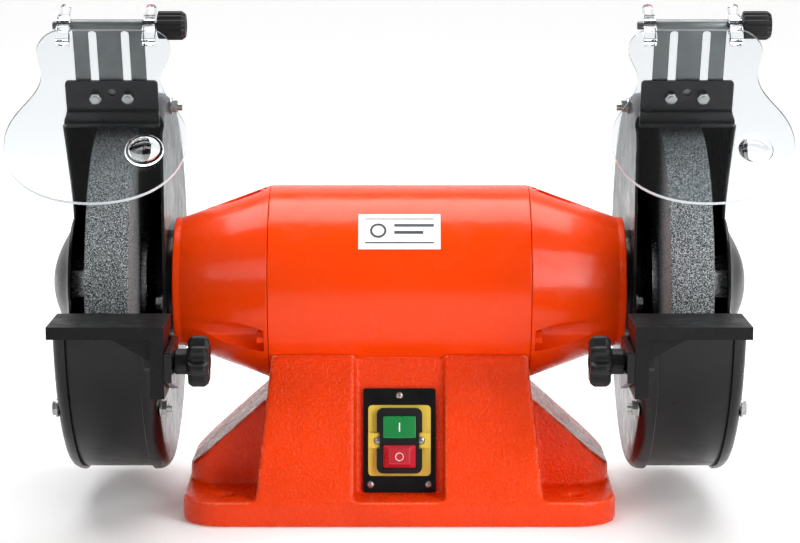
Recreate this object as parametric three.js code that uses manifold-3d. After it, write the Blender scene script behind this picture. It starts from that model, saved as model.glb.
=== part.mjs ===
// Pedestal-base bench grinder with two 250 mm wheels, in millimetres, +Z up.
// The origin is the centre of the base's underside, +X is along the spindle and -Y is the operator's side.
import * as THREE from "three";
import { mergeVertices } from "three/addons/utils/BufferGeometryUtils.js";
import Module from "manifold-3d";

const wasm = await Module();
wasm.setup();

// ---- Driving dimensions ----

const GAP = 0.3; // air left between two touching pieces
const ROUND = 32; // sides of a large turned piece
const SMALL_ROUND = 14; // sides of a small turned piece

const AXIS_Z = 170; // spindle height above the bench

const SHELL = { radius: 75, inner: 70.5, halfLength: 99.5 };
const BELL = {
  neckRadius: 50,
  coneEnd: 168,
  neckEnd: 173.5,
  bossRadius: 40, // the boss that the guard's hub sits on
  bossEnd: 183.7,
  hubInner: 26.3,
  shaftHole: 13.5,
};
const GROOVE = { radius: 11.5, wall: 15, at: 67.5, start: 103, angles: [90, 210, 330] };
const STATOR = { outer: 69.8, inner: 41.3, halfLength: 44, slots: 8, slotWidth: 9, slotFloor: 60 };
const ROTOR = { radius: 40.5, halfLength: 43 };
const SHAFT = { seat: 12.5, core: 17, end: 257 };
const BEARING = { inner: 13.1, outer: 26, start: 149, end: 164 };

const WHEEL = { radius: 125, start: 198.4, end: 230.4, bore: 12.8, chamfer: 1 };
const WHEEL_MIDDLE = (WHEEL.start + WHEEL.end) / 2;
const FLANGE = { radius: 42, rim: 5, thickness: 11 };
const NUT = { acrossCorners: 41.5, start: 242, thickness: 12 };

const FOOT = { x: 164, y: 108, height: 19, corner: 32 };
const PEDESTAL = { foot: [108, 107], head: [97.5, 59.5], top: 122 };
const CAVITY = { foot: [99, 98], head: [88, 48], top: 88 };
const WEB = { y: 48, corner: 22, innerX: 90, innerZ: 96.6, outerX: 162, outerZ: 32 };
const CHANNEL = { half: 34, topY: -57, footY: -76, back: 6 };
const BOLT_HOLE = { radius: 7, x: 131.5, y: 80 };
const COVER = { x: 101, y: 99, thickness: 2 };

const SWITCH_Z = 58; // height of the middle of the switch plate
const SWITCH_PLATE = { x: 27.5, z: 39.5, front: -2.3 };
const SWITCH_FRAME = { x: 23.7, z: 26.8, front: -4.3, corner: 3 };
const SWITCH_TAB = { z: 5.8, front: -6.6 };
const BEZEL = { x: 17.2, z: 24.8, front: -9, corner: 5 };
const SWITCH_BODY = { x: 14.5, z: 21.5, back: 30 };
const BUTTON = { x: 12.4, back: -5.4, pocketBack: -1, play: 0.35 };
const START = { z: 10.2, half: 8.3, front: -9.6 };
const STOP = { z: -12, half: 8.6, front: -13, topX: 7.6, topHalf: 5.6 };

const GLAND = { x: -60, y: 106, z: 45, thread: 8, bore: 5, hex: 13, length: 20, boss: 17 };
const CAPACITOR = { radius: 18, halfLength: 31, y: 45 };

const GUARD = {
  rim: 146, // outer radius of both side pans
  sheet: 2,
  drumOuter: 143.7,
  drumInner: 141.7,
  mouthAngle: 22, // forward lean of the drum's top end from straight up
  mouthZ: -18, // top of the closed lower front, from the spindle axis
  mouthY: -60, // front edge of the inner pan above that
};
const PAN = { back: 177.3, bend: 9, rimEnd: 189.5, hole: 16, hub: 44, hubFoot: 51, hubRise: 6.7 };
const DRUM = { start: 186.5, end: 244.2 };
const GUARD_COVER = { rimStart: 243, face: 252.3, bend: 8, domeRadius: 49, domeHeight: 17 };
const COVER_EDGE = { top: [-62, 132], notch: [-8, 60], radius: 50, from: 96, to: 201.1 };
const COVER_BOLT = { radius: 3, at: 136, headStart: 252.6, end: 168.4, angles: [-35, 92, 205] };
const BOLT_HEAD = 5.6; // across-corner radius of a cover bolt's head and nut
const TAB = { half: 20.5, top: 172 };

const SPARK = { half: 34.5, low: 139, top: 174.5, front: -4.3, lip: 6, corner: 3 };
const SPARK_BOLT = { x: 12, at: 161.5, radius: 2.5, hole: 3, nut: 4.6 };
const SLIDE = { half: 26.4, low: 150, slotWidth: 6, slotLow: 155, slotHigh: 214 };
const HINGE = { at: 221, tube: 4.6, bore: 3.4, rod: 3, rodEnd: 45 };
const EAR = { start: 26.9, end: 36, radius: 8, post: 4.2, top: 18 };
const SHIELD = { tilt: 42, thickness: 3, drop: 6 };
const SHIELD_KNOB = { start: 37, end: 58, radius: 10.7, flutes: 12 };

const REST = { start: 166.5, end: 249.5, front: -190, back: -130, top: -4, thickness: 9 };
const REST_LEG = { end: 176.5, back: -150, low: -56 };
const REST_RIB = { y: -186, thickness: 5, reach: 206, drop: 17 };
const STUD = { y: -166, z: -33, radius: 4, start: 138, end: 182.5, head: 7 };
const ARM = { start: 160.9, end: 166.2, front: -191, bend: -138, pad: -124, back: -84, top: -20, low: -58 };
const ARM_SLOT = { front: -185.6, back: -157 };
const REST_KNOB = { start: 134, disc: 151, hubEnd: 160.6, radius: 19, hub: 9.3, lobes: 7 };

// ---- Finishes ----

const FINISHES = {
  orange: { color: 0xe8460a, roughness: 0.35, metalness: 0.1 },
  black: { color: 0x0c0c0d, roughness: 0.35, metalness: 0.2 },
  blackPlastic: { color: 0x111112, roughness: 0.5, metalness: 0 },
  stone: { color: 0x7d8080, roughness: 0.95, metalness: 0 },
  steel: { color: 0xb4b6b8, roughness: 0.3, metalness: 0.9 },
  zinc: { color: 0xc8c9c6, roughness: 0.35, metalness: 0.9 },
  laminations: { color: 0x6b6e70, roughness: 0.5, metalness: 0.8 },
  copper: { color: 0xb5652c, roughness: 0.4, metalness: 0.8 },
  aluminium: { color: 0xc9cbcc, roughness: 0.4, metalness: 0.8 },
  yellow: { color: 0xf2c400, roughness: 0.4, metalness: 0 },
  green: { color: 0x12974a, roughness: 0.35, metalness: 0 },
  red: { color: 0xc01822, roughness: 0.35, metalness: 0 },
  clear: { color: 0xe6eef4, roughness: 0.05, metalness: 0, transparent: true, opacity: 0.35 },
};

// ---- Solids from three.js geometry ----

// A closed three.js geometry as a solid that can be joined and cut.
function solid(geometry) {
  const plain = geometry.clone();
  plain.deleteAttribute("normal");
  plain.deleteAttribute("uv");
  const merged = mergeVertices(plain, 1e-4);
  return new wasm.Manifold(
    new wasm.Mesh({
      numProp: 3,
      vertProperties: merged.attributes.position.array,
      triVerts: new Uint32Array(merged.index.array),
    }),
  );
}

// A solid's surface as a three.js geometry.
function surface(body) {
  const { vertProperties, triVerts } = body.getMesh();
  const geometry = new THREE.BufferGeometry();
  geometry.setAttribute("position", new THREE.BufferAttribute(vertProperties, 3));
  geometry.setIndex(new THREE.BufferAttribute(triVerts, 1));
  return geometry;
}

// A solid moved by a matrix.
function moved(body, matrix) {
  return solid(surface(body).applyMatrix4(matrix));
}

// A named mesh of a solid, in one of the finishes.
function piece(name, body, finish) {
  const geometry = surface(body);
  geometry.computeVertexNormals();
  const mesh = new THREE.Mesh(geometry, new THREE.MeshStandardMaterial(FINISHES[finish]));
  mesh.name = name;
  return mesh;
}

// A block between two corners.
function block(low, high) {
  const geometry = new THREE.BoxGeometry(high[0] - low[0], high[1] - low[1], high[2] - low[2]);
  geometry.translate((low[0] + high[0]) / 2, (low[1] + high[1]) / 2, (low[2] + high[2]) / 2);
  return solid(geometry);
}

// A block whose half widths change from its foot to its head.
function taperedBlock(foot, head, low, high) {
  const geometry = new THREE.BoxGeometry(2, 2, 2);
  const corners = geometry.attributes.position;
  for (let i = 0; i < corners.count; i += 1) {
    const isHead = corners.getZ(i) > 0;
    const half = isHead ? head : foot;
    corners.setXYZ(i, corners.getX(i) * half[0], corners.getY(i) * half[1], isHead ? high : low);
  }
  return solid(geometry);
}

// A solid of revolution about X. The profile is [x, radius] pairs, with its outer wall running toward +X.
function turned(profile, sides = SMALL_ROUND) {
  const points = profile.map(([x, radius]) => new THREE.Vector2(radius, x));
  return solid(new THREE.LatheGeometry(points, sides).rotateZ(-Math.PI / 2));
}

// A ring about X.
function ring(inner, outer, start, end, sides = SMALL_ROUND) {
  return turned([[start, inner], [start, outer], [end, outer], [end, inner], [start, inner]], sides);
}

// A round bar along X at y, z.
function bar(radius, start, end, y = 0, z = 0, sides = SMALL_ROUND) {
  const geometry = new THREE.CylinderGeometry(radius, radius, end - start, sides);
  geometry.rotateZ(-Math.PI / 2).translate((start + end) / 2, y, z);
  return solid(geometry);
}

// A round bar along Y at x, z.
function crossBar(radius, start, end, x, z, sides = 10) {
  const geometry = new THREE.CylinderGeometry(radius, radius, end - start, sides);
  return solid(geometry.translate(x, (start + end) / 2, z));
}

// A round bar along Z at x, y.
function post(radius, low, high, x, y, sides = SMALL_ROUND) {
  const geometry = new THREE.CylinderGeometry(radius, radius, high - low, sides);
  return solid(geometry.rotateX(Math.PI / 2).translate(x, y, (low + high) / 2));
}

// A flat outline pushed straight through a thickness.
function extruded(shape, depth, curveSegments) {
  return new THREE.ExtrudeGeometry(shape, { depth, bevelEnabled: false, curveSegments });
}

// An outline in Y and Z, pushed along X.
function alongX(shape, start, end, curveSegments = 8) {
  const turn = new THREE.Matrix4().makeBasis(
    new THREE.Vector3(0, 1, 0),
    new THREE.Vector3(0, 0, 1),
    new THREE.Vector3(1, 0, 0),
  );
  return solid(extruded(shape, end - start, curveSegments).applyMatrix4(turn).translate(start, 0, 0));
}

// An outline in X and Z, pushed along Y.
function alongY(shape, start, end, curveSegments = 8) {
  return solid(extruded(shape, end - start, curveSegments).rotateX(Math.PI / 2).translate(0, end, 0));
}

// An outline in X and Y, pushed along Z.
function alongZ(shape, low, high, curveSegments = 8) {
  return solid(extruded(shape, high - low, curveSegments).translate(0, 0, low));
}

function polygon(points) {
  return new THREE.Shape(points.map(([a, b]) => new THREE.Vector2(a, b)));
}

// A rectangle with four round corners, about the point (middleA, middleB).
function roundedRectangle(halfA, halfB, corner, middleA = 0, middleB = 0) {
  const shape = new THREE.Shape();
  const a = halfA - corner;
  const b = halfB - corner;
  shape.absarc(middleA + a, middleB - b, corner, -Math.PI / 2, 0);
  shape.absarc(middleA + a, middleB + b, corner, 0, Math.PI / 2);
  shape.absarc(middleA - a, middleB + b, corner, Math.PI / 2, Math.PI);
  shape.absarc(middleA - a, middleB - b, corner, Math.PI, 1.5 * Math.PI);
  return shape;
}

// A round grip with lobes: its radius swings between the lobe tips and the valleys.
function lobedOutline(radius, depth, lobes) {
  const steps = lobes * 4;
  const points = [];
  for (let i = 0; i < steps; i += 1) {
    const angle = (2 * Math.PI * i) / steps;
    const reach = radius - depth * (0.5 - 0.5 * Math.cos(lobes * angle));
    points.push([reach * Math.cos(angle), reach * Math.sin(angle)]);
  }
  return polygon(points);
}

// Profile points of a quarter bend from angle to angle, about [x, radius].
function bend(x, radius, size, from, to) {
  const steps = 2;
  const points = [];
  for (let i = 0; i <= steps; i += 1) {
    const angle = THREE.MathUtils.degToRad(from + ((to - from) * i) / steps);
    points.push([x + size * Math.cos(angle), radius + size * Math.sin(angle)]);
  }
  return points;
}

function onCircle(radius, degrees) {
  const angle = THREE.MathUtils.degToRad(degrees);
  return [radius * Math.cos(angle), radius * Math.sin(angle)];
}

// ---- Base ----

// Everything in front of the switch channel's sloping back wall, moved back by an offset.
function channelSpace(half, offset) {
  const topY = CHANNEL.topY + offset;
  const footY = CHANNEL.footY + offset;
  const above = PEDESTAL.top + 6;
  const slope = (topY - footY) / (PEDESTAL.top - FOOT.height);
  const outline = polygon([
    [footY, FOOT.height],
    [topY + slope * 6, above],
    [-140, above],
    [-140, FOOT.height],
  ]);
  return alongX(outline, -half, half);
}

function baseCasting() {
  const foot = alongZ(roundedRectangle(FOOT.x, FOOT.y, FOOT.corner), 0, FOOT.height, 6);
  const pedestal = taperedBlock(PEDESTAL.foot, PEDESTAL.head, FOOT.height - 1, PEDESTAL.top);
  const webSlope = alongY(
    polygon([
      [-WEB.outerX, FOOT.height - 1],
      [WEB.outerX, FOOT.height - 1],
      [WEB.outerX, WEB.outerZ],
      [WEB.innerX, WEB.innerZ],
      [-WEB.innerX, WEB.innerZ],
      [-WEB.outerX, WEB.outerZ],
    ]),
    -WEB.y,
    WEB.y,
  );
  const webPlan = alongZ(roundedRectangle(WEB.outerX, WEB.y, WEB.corner), 0, PEDESTAL.top, 5);
  const cavity = taperedBlock(CAVITY.foot, CAVITY.head, -1, CAVITY.top);
  const cavityFront = channelSpace(CHANNEL.half + CHANNEL.back, CHANNEL.back).add(
    block([-CHANNEL.half - 6, -140, -2], [CHANNEL.half + 6, CHANNEL.footY + CHANNEL.back, FOOT.height + 1]),
  );
  let body = foot.add(pedestal).add(webSlope.intersect(webPlan));
  body = body.add(crossBar(GLAND.boss, 74, GLAND.y, GLAND.x, GLAND.z, SMALL_ROUND));
  body = body.subtract(channelSpace(CHANNEL.half, 0));
  body = body.subtract(cavity.subtract(cavityFront));
  body = body.subtract(bar(SHELL.radius + GAP, -200, 200, 0, AXIS_Z, ROUND));
  const coverX = COVER.x + GAP;
  const coverY = COVER.y + GAP;
  body = body.subtract(block([-coverX, -coverY, -1], [coverX, coverY, COVER.thickness + GAP]));
  body = body.subtract(post(9, 60, AXIS_Z, 0, 20));
  body = body.subtract(crossBar(GLAND.thread + GAP, 60, 120, GLAND.x, GLAND.z, SMALL_ROUND));
  for (const x of [-BOLT_HOLE.x, BOLT_HOLE.x]) {
    for (const y of [-BOLT_HOLE.y, BOLT_HOLE.y]) {
      body = body.subtract(post(BOLT_HOLE.radius, -1, FOOT.height + 1, x, y));
    }
  }
  return body;
}

// Lean of the channel's back wall from upright.
const WALL_LEAN = Math.atan2(CHANNEL.topY - CHANNEL.footY, PEDESTAL.top - FOOT.height);

// The switch's own frame: X across, Z up the channel wall, -Y toward the operator.
function switchPlace() {
  const group = new THREE.Group();
  const y = CHANNEL.footY + Math.tan(WALL_LEAN) * (SWITCH_Z - FOOT.height);
  group.position.set(0, y, SWITCH_Z);
  group.rotation.x = -WALL_LEAN;
  group.updateMatrix();
  return group;
}

// A solid carried from a group's own frame to the part's frame.
function carried(body, group) {
  return moved(body, group.matrix);
}

// The space round the switch's body, with some air.
function switchWell(air) {
  const x = SWITCH_BODY.x + air;
  const z = SWITCH_BODY.z + air;
  return block([-x, -5, -z], [x, SWITCH_BODY.back + 10, z]);
}

function base() {
  const group = new THREE.Group();
  const casting = baseCasting().subtract(carried(switchWell(GAP), switchPlace()));
  group.add(piece("base_casting", casting, "orange"));
  const cover = block([-COVER.x, -COVER.y, 0], [COVER.x, COVER.y, COVER.thickness]);
  group.add(piece("base_cover", cover, "steel"));
  const can = bar(CAPACITOR.radius, -CAPACITOR.halfLength, CAPACITOR.halfLength);
  const capacitor = piece("capacitor", can, "aluminium");
  capacitor.position.set(0, CAPACITOR.y, COVER.thickness + CAPACITOR.radius + GAP);
  group.add(capacitor);
  return group;
}

// The cord's gland points straight back from a boss on the pedestal. It is modelled along +X and turned.
function cableGland() {
  const hexagon = bar(GLAND.hex, GAP, 6, 0, 0, 6);
  const dome = turned([[5, 0], [5, 11.5], [GLAND.length - 5, 11.5], [GLAND.length, 8], [GLAND.length, 0]]);
  const body = hexagon.add(dome).add(bar(GLAND.thread, -30, 1)).subtract(bar(GLAND.bore, -40, 30));
  const gland = piece("cable_gland", body, "blackPlastic");
  gland.position.set(GLAND.x, GLAND.y, GLAND.z);
  gland.rotation.z = Math.PI / 2;
  return gland;
}

// ---- Switch ----

function switchPlate() {
  const outline = roundedRectangle(SWITCH_PLATE.x, SWITCH_PLATE.z, 2);
  let body = alongY(outline, SWITCH_PLATE.front, -GAP, 3).subtract(switchWell(2 * GAP));
  for (const [x, z] of [[0, 34], [-22, -33.5], [22, -33.5]]) {
    body = body.subtract(crossBar(2, -6, 2, x, z));
  }
  return body;
}

function switchFrame() {
  const outline = roundedRectangle(SWITCH_FRAME.x, SWITCH_FRAME.z, SWITCH_FRAME.corner);
  const body = alongY(outline, SWITCH_FRAME.front, SWITCH_PLATE.front - GAP, 3);
  const { x } = SWITCH_FRAME;
  const { front, z } = SWITCH_TAB;
  const tabs = block([-x, front, -z], [x, SWITCH_FRAME.front + 0.5, z]);
  const between = SWITCH_BODY.x + 2 * GAP;
  const passage = block([-between, front - 1, -z - 1], [between, 0, z + 1]);
  return body.add(tabs).subtract(switchWell(2 * GAP)).subtract(passage);
}

function buttonPocket(button) {
  const x = BUTTON.x + BUTTON.play;
  const half = button.half + BUTTON.play;
  return block([-x, -20, button.z - half], [x, BUTTON.pocketBack, button.z + half]);
}

function switchHousing() {
  const back = SWITCH_FRAME.front - GAP;
  const notchX = SWITCH_BODY.x + 0.3;
  const notchZ = SWITCH_TAB.z + GAP;
  let body = alongY(roundedRectangle(BEZEL.x, BEZEL.z, BEZEL.corner), BEZEL.front, back, 4);
  body = body.subtract(block([notchX, -20, -notchZ], [40, 0, notchZ]));
  body = body.subtract(block([-40, -20, -notchZ], [-notchX, 0, notchZ]));
  const { x, z, back: depth } = SWITCH_BODY;
  body = body.add(block([-x, back - 0.5, -z], [x, depth, z]));
  return body.subtract(buttonPocket(START)).subtract(buttonPocket(STOP));
}

function startButton() {
  return block([-BUTTON.x, START.front, -START.half], [BUTTON.x, BUTTON.back, START.half]);
}

// The stop button stands proud and narrows to a flat top.
function stopButton() {
  const shank = block([-BUTTON.x, BEZEL.front, -STOP.half], [BUTTON.x, BUTTON.back, STOP.half]);
  const head = taperedBlock([BUTTON.x, STOP.half], [STOP.topX, STOP.topHalf], 0, BEZEL.front - STOP.front);
  const quarterTurn = new THREE.Matrix4().makeRotationX(Math.PI / 2).setPosition(0, BEZEL.front, 0);
  return shank.add(moved(head, quarterTurn));
}

function switchUnit() {
  const group = switchPlace();
  group.add(piece("switch_plate", switchPlate(), "black"));
  group.add(piece("switch_frame", switchFrame(), "yellow"));
  group.add(piece("switch_housing", switchHousing(), "blackPlastic"));
  const start = piece("start_button", startButton(), "green");
  start.position.z = START.z;
  group.add(start);
  const stop = piece("stop_button", stopButton(), "red");
  stop.position.z = STOP.z;
  group.add(stop);
  return group;
}

// ---- Motor, about the spindle axis ----

function motorShell() {
  const tube = ring(SHELL.inner, SHELL.radius, -SHELL.halfLength, SHELL.halfLength, ROUND);
  return tube.subtract(post(8, -90, -50, 0, 20));
}

// The shell's end: a cone with three through-bolt grooves, a neck for the guard and the bearing seat.
function endBell() {
  const start = SHELL.halfLength + GAP;
  const { coneEnd, neckRadius } = BELL;
  const cone = turned([[start, 0], [start, SHELL.radius], [coneEnd, neckRadius], [coneEnd, 0]], ROUND);
  let body = turned(
    [
      [94, 66],
      [94, SHELL.inner - GAP],
      [start, SHELL.inner - GAP],
      [start, SHELL.radius],
      [BELL.coneEnd, BELL.neckRadius],
      [BELL.neckEnd, BELL.neckRadius],
      [BELL.neckEnd, BELL.bossRadius],
      [BELL.bossEnd, BELL.bossRadius],
      [BELL.bossEnd, BELL.shaftHole],
      [BEARING.end + GAP, BELL.shaftHole],
      [BEARING.end + GAP, BELL.hubInner],
      [147, BELL.hubInner],
      [147, 33],
      [160, 36],
      [160, 46],
      [104, 66],
      [94, 66],
    ],
    ROUND,
  );
  const boss = { start: GROOVE.start - 3, end: 156 };
  for (const degrees of GROOVE.angles) {
    const [y, z] = onCircle(GROOVE.at, degrees);
    body = body.add(bar(GROOVE.wall, boss.start, boss.end, y, z).intersect(cone));
  }
  for (const degrees of GROOVE.angles) {
    const [y, z] = onCircle(GROOVE.at, degrees);
    body = body.subtract(bar(GROOVE.radius, GROOVE.start, 190, y, z));
  }
  return body;
}

function statorCore() {
  let body = ring(STATOR.inner, STATOR.outer, -STATOR.halfLength, STATOR.halfLength, 24);
  for (let i = 0; i < STATOR.slots; i += 1) {
    body = body.subtract(slotBar(i, STATOR.slotWidth, STATOR.slotFloor, 60));
  }
  return body;
}

// The space of one winding slot, open toward the rotor.
function slotBar(index, width, floor, reach) {
  const slot = block([-reach, -width / 2, STATOR.inner - 3], [reach, width / 2, floor]);
  const turn = new THREE.Matrix4().makeRotationX((2 * Math.PI * index) / STATOR.slots);
  return moved(slot, turn);
}

// Two coil heads joined by the conductors that lie in the stator's slots.
function statorWinding() {
  const near = STATOR.halfLength + GAP;
  let body = ring(46, 63, near, near + 22).add(ring(46, 63, -near - 22, -near));
  const clearBore = bar(STATOR.inner + 3, -80, 80);
  for (let i = 0; i < STATOR.slots; i += 1) {
    const conductor = slotBar(i, STATOR.slotWidth - 2 * GAP, STATOR.slotFloor - GAP, near + 1);
    body = body.add(conductor.subtract(clearBore));
  }
  return body;
}

function rotorShaft() {
  const step = BEARING.start - GAP;
  return turned([
    [-SHAFT.end, 0],
    [-SHAFT.end, SHAFT.seat - 1],
    [-SHAFT.end + 1, SHAFT.seat],
    [-step, SHAFT.seat],
    [-step, SHAFT.core],
    [step, SHAFT.core],
    [step, SHAFT.seat],
    [SHAFT.end - 1, SHAFT.seat],
    [SHAFT.end, SHAFT.seat - 1],
    [SHAFT.end, 0],
  ], SMALL_ROUND);
}

function motor() {
  const group = new THREE.Group();
  group.position.z = AXIS_Z;
  group.add(piece("motor_shell", motorShell(), "orange"));
  group.add(piece("stator_core", statorCore(), "laminations"));
  group.add(piece("stator_winding", statorWinding(), "copper"));
  group.add(piece("rotor_shaft", rotorShaft(), "steel"));
  const rotor = ring(SHAFT.core + GAP, ROTOR.radius, -ROTOR.halfLength, ROTOR.halfLength);
  group.add(piece("rotor_core", rotor, "laminations"));
  return group;
}

// ---- Wheel and its clamping ----

function wheel() {
  const { radius, start, end, bore, chamfer } = WHEEL;
  return turned(
    [
      [start, bore],
      [start, radius - chamfer],
      [start + chamfer, radius],
      [end - chamfer, radius],
      [end, radius - chamfer],
      [end, bore],
      [start, bore],
    ],
    ROUND,
  );
}

// A dished clamping washer, flat side toward +X.
function flange() {
  const { radius, rim, thickness } = FLANGE;
  return turned(
    [
      [0, WHEEL.bore],
      [0, 22],
      [thickness - rim, 26],
      [thickness - rim, radius - 1],
      [thickness - rim + 1, radius],
      [thickness, radius],
      [thickness, 28],
      [thickness - 1, 27],
      [thickness - 1, WHEEL.bore],
      [0, WHEEL.bore],
    ],
    20,
  );
}

function spindleNut() {
  const hexagon = bar(NUT.acrossCorners / 2, NUT.start, NUT.start + NUT.thickness, 0, 0, 6);
  return hexagon.subtract(bar(WHEEL.bore, 0, 300, 0, 0, SMALL_ROUND));
}

// ---- Guard ----

// The space in front of the inner pan's edge, above the closed lower front.
function mouth(edgeY) {
  return alongX(polygon([[edgeY, GUARD.mouthZ], [edgeY, 220], [-220, 220], [-220, GUARD.mouthZ]]), 160, 280);
}

// The space in front of the drum's top end, where both pans' rims stop.
function mouthEnd() {
  return carried(block([-60, -60, GUARD.rim - 12], [60, 0, GUARD.rim + 60]), mouthPlace());
}

function coverBoltHoles() {
  let holes = null;
  for (const degrees of COVER_BOLT.angles) {
    const [y, z] = coverBoltPlace(degrees);
    const hole = bar(COVER_BOLT.radius + GAP, 150, 280, y, z);
    holes = holes ? holes.add(hole) : hole;
  }
  return holes;
}

// Place of a cover bolt, its angle counted from the front, positive upward.
function coverBoltPlace(degrees) {
  const [forward, up] = onCircle(COVER_BOLT.at, degrees);
  return [-forward, up];
}

function innerPan() {
  const { back, bend: size, rimEnd, hole, hub, hubFoot, hubRise } = PAN;
  const { rim, sheet } = GUARD;
  const middle = back + size;
  const body = turned(
    [
      [back + hubRise, hole],
      [back + hubRise, hub],
      [back, hubFoot],
      ...bend(middle, rim - size, size, 180, 90),
      [rimEnd, rim],
      [rimEnd, rim - sheet],
      ...bend(middle, rim - size, size - sheet, 90, 180),
      [back + sheet, hubFoot + 0.6],
      [back + hubRise + sheet, hub + 0.6],
      [back + hubRise + sheet, hole],
      [back + hubRise, hole],
    ],
    ROUND,
  );
  return body.subtract(mouth(GUARD.mouthY)).subtract(mouthEnd()).subtract(coverBoltHoles());
}

// The drum is a rolled strip, bent outward at its top end into a tab that holds the spark guard.
function guardDrum() {
  const strip = ring(GUARD.drumInner, GUARD.drumOuter, DRUM.start, DRUM.end, ROUND);
  const lean = THREE.MathUtils.degToRad(GUARD.mouthAngle);
  const far = 230;
  const front = polygon([
    [0, 0],
    [-far * Math.sin(lean), far * Math.cos(lean)],
    [-far, far],
    [-far, GUARD.mouthZ],
    [0, GUARD.mouthZ],
  ]);
  const opened = strip.subtract(alongX(front, DRUM.start - 5, DRUM.end + 5));
  const tab = block([-TAB.half, 0, GUARD.drumInner + 0.2], [TAB.half, GUARD.sheet, TAB.top]);
  return opened.add(carried(tab.subtract(tabHoles()), mouthPlace()));
}

// The frame of the guard's top end: Z straight out from the spindle, -Y toward the operator.
function mouthPlace() {
  const group = new THREE.Group();
  group.position.x = WHEEL_MIDDLE;
  group.rotation.x = THREE.MathUtils.degToRad(GUARD.mouthAngle);
  group.updateMatrix();
  return group;
}

function tabHoles() {
  const left = crossBar(SPARK_BOLT.hole, -20, 20, -SPARK_BOLT.x, SPARK_BOLT.at);
  return left.add(crossBar(SPARK_BOLT.hole, -20, 20, SPARK_BOLT.x, SPARK_BOLT.at));
}

// The outer side: a shallow pan with a dome over the spindle end and a curved front edge.
function guardCover() {
  const { rimStart, face, bend: size, domeRadius, domeHeight } = GUARD_COVER;
  const { rim, sheet } = GUARD;
  const middle = face - size;
  const body = turned(
    [
      [face + domeHeight - sheet, 0],
      [face + domeHeight - 3.5 - sheet, domeRadius - 29.6],
      [face + 3.2 - sheet, domeRadius - 9.6],
      [face - sheet, domeRadius - 0.6],
      ...bend(middle, rim - size, size - sheet, 0, 90),
      [rimStart, rim - sheet],
      [rimStart, rim],
      ...bend(middle, rim - size, size, 90, 0),
      [face, domeRadius],
      [face + 3.2, domeRadius - 9],
      [face + domeHeight - 3.5, domeRadius - 29],
      [face + domeHeight, 0],
    ],
    ROUND,
  );
  const opening = alongX(coverMouth(), rimStart - 10, face + 40, 10);
  return body.subtract(opening).subtract(mouthEnd()).subtract(coverBoltHoles());
}

// The cover's open front: its edge sweeps back from the top and then runs round the front of the dome.
function coverMouth() {
  const { top, notch, radius, from, to } = COVER_EDGE;
  const edge = new THREE.Shape();
  edge.moveTo(top[0], 200);
  edge.lineTo(top[0], top[1]);
  edge.bezierCurveTo(-44, 112, -16, 76, notch[0], notch[1]);
  edge.absarc(0, 0, radius, THREE.MathUtils.degToRad(from), THREE.MathUtils.degToRad(to));
  edge.lineTo(-220, GUARD.mouthZ);
  edge.lineTo(-220, 200);
  return edge;
}

// A through-bolt: hexagon head outside the cover, nut on the inner pan's side, in one piece when tightened.
function coverBolt() {
  const { radius, headStart, end } = COVER_BOLT;
  const head = bar(BOLT_HEAD, headStart, headStart + 4.2, 0, 0, 6);
  const nut = bar(BOLT_HEAD, PAN.back - GAP - 5, PAN.back - GAP, 0, 0, 6);
  return head.add(nut).add(bar(radius, end, headStart + 1, 0, 0, 8));
}

// ---- Spark guard and eye shield ----

// A plate with rounded top corners whose lower edge is bent forward over the wheel.
function sparkGuard() {
  const { half, low, top, front, lip, corner } = SPARK;
  const outline = new THREE.Shape();
  outline.moveTo(-half, low);
  outline.lineTo(half, low);
  outline.absarc(half - corner, top - corner, corner, 0, Math.PI / 2);
  outline.absarc(-half + corner, top - corner, corner, Math.PI / 2, Math.PI);
  const plate = alongY(outline, front, front + GUARD.sheet, 5);
  const lipPlate = block([-half, front - lip, low], [half, front + 0.5, low + 3]);
  const brace = block([-half, front - 3, low], [half, front + 0.5, low + 11]);
  return plate.add(lipPlate).add(brace).subtract(tabHoles()).subtract(crossBar(3, -30, 30, 0, 165));
}

// A bolt with its nut on the operator's side.
function sparkBolt() {
  const rear = GUARD.sheet + GAP;
  const front = SPARK.front - GAP;
  const shank = crossBar(SPARK_BOLT.radius, front - 5.5, rear + 1, 0, 0);
  const nut = crossBar(SPARK_BOLT.nut, front - 4, front, 0, 0, 6);
  const head = crossBar(SPARK_BOLT.nut, rear, rear + 3.5, 0, 0, 6);
  return shank.add(nut).add(head);
}

// The slotted slide, rolled into a tube at its top.
function shieldSlide() {
  const { half, low, slotWidth, slotLow, slotHigh } = SLIDE;
  const sheetBack = -GAP;
  const sheetFront = SPARK.front + GUARD.sheet + GAP;
  let body = block([-half, sheetFront, low], [half, sheetBack, HINGE.at]);
  body = body.add(bar(HINGE.tube, -half, half, hingeY(), HINGE.at));
  body = body.subtract(bar(HINGE.bore, -half - 1, half + 1, hingeY(), HINGE.at));
  for (const x of [-SPARK_BOLT.x, SPARK_BOLT.x]) {
    body = body.subtract(block([x - slotWidth / 2, -20, slotLow], [x + slotWidth / 2, 20, slotHigh]));
  }
  return body;
}

// The hinge tube curls forward from the slide's sheet.
function hingeY() {
  return SPARK.front + GUARD.sheet + GAP - HINGE.tube + 1.6;
}

// The shield's frame: origin on the hinge rod, -Z down the sheet, -Y out of its front.
function shieldPlace() {
  const group = new THREE.Group();
  const lean = THREE.MathUtils.degToRad(GUARD.mouthAngle);
  const y = hingeY() * Math.cos(lean) - HINGE.at * Math.sin(lean);
  const z = hingeY() * Math.sin(lean) + HINGE.at * Math.cos(lean);
  group.position.set(WHEEL_MIDDLE, y, z);
  group.rotation.x = THREE.MathUtils.degToRad(-SHIELD.tilt);
  return group;
}

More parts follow.
